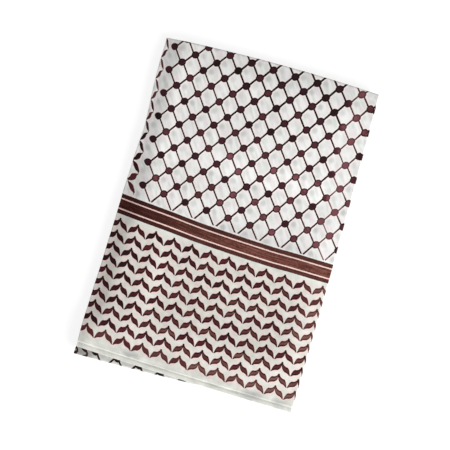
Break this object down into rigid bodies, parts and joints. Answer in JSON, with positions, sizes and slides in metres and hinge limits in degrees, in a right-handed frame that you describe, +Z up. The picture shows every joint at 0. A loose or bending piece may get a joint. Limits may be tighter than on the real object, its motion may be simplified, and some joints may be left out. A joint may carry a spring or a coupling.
{
  "type": "hijab",
  "caption": "Thin printed headscarf with a lattice and leaf pattern, folded into a flat layered rectangle that lies on a surface.",
  "frame": {"origin": "middle of the folded outline, on the surface it lies on", "axes": "+X across the folded scarf to its lengthwise fold, +Y along it to the back fold, +Z up"},
  "size_m": [0.2398, 0.3556, 0.012],
  "materials": {
    "printed_cloth": "matt fine plain weave, off-white with a dark maroon print",
    "hem_cloth": "the same cloth, unprinted, turned and stitched"
  },
  "bodies": {
    "root": {"top_stretch": "printed_cloth", "end_hem": "hem_cloth", "second_stretch": "printed_cloth", "hidden_layers": "printed_cloth"}
  },
  "joints": []
}
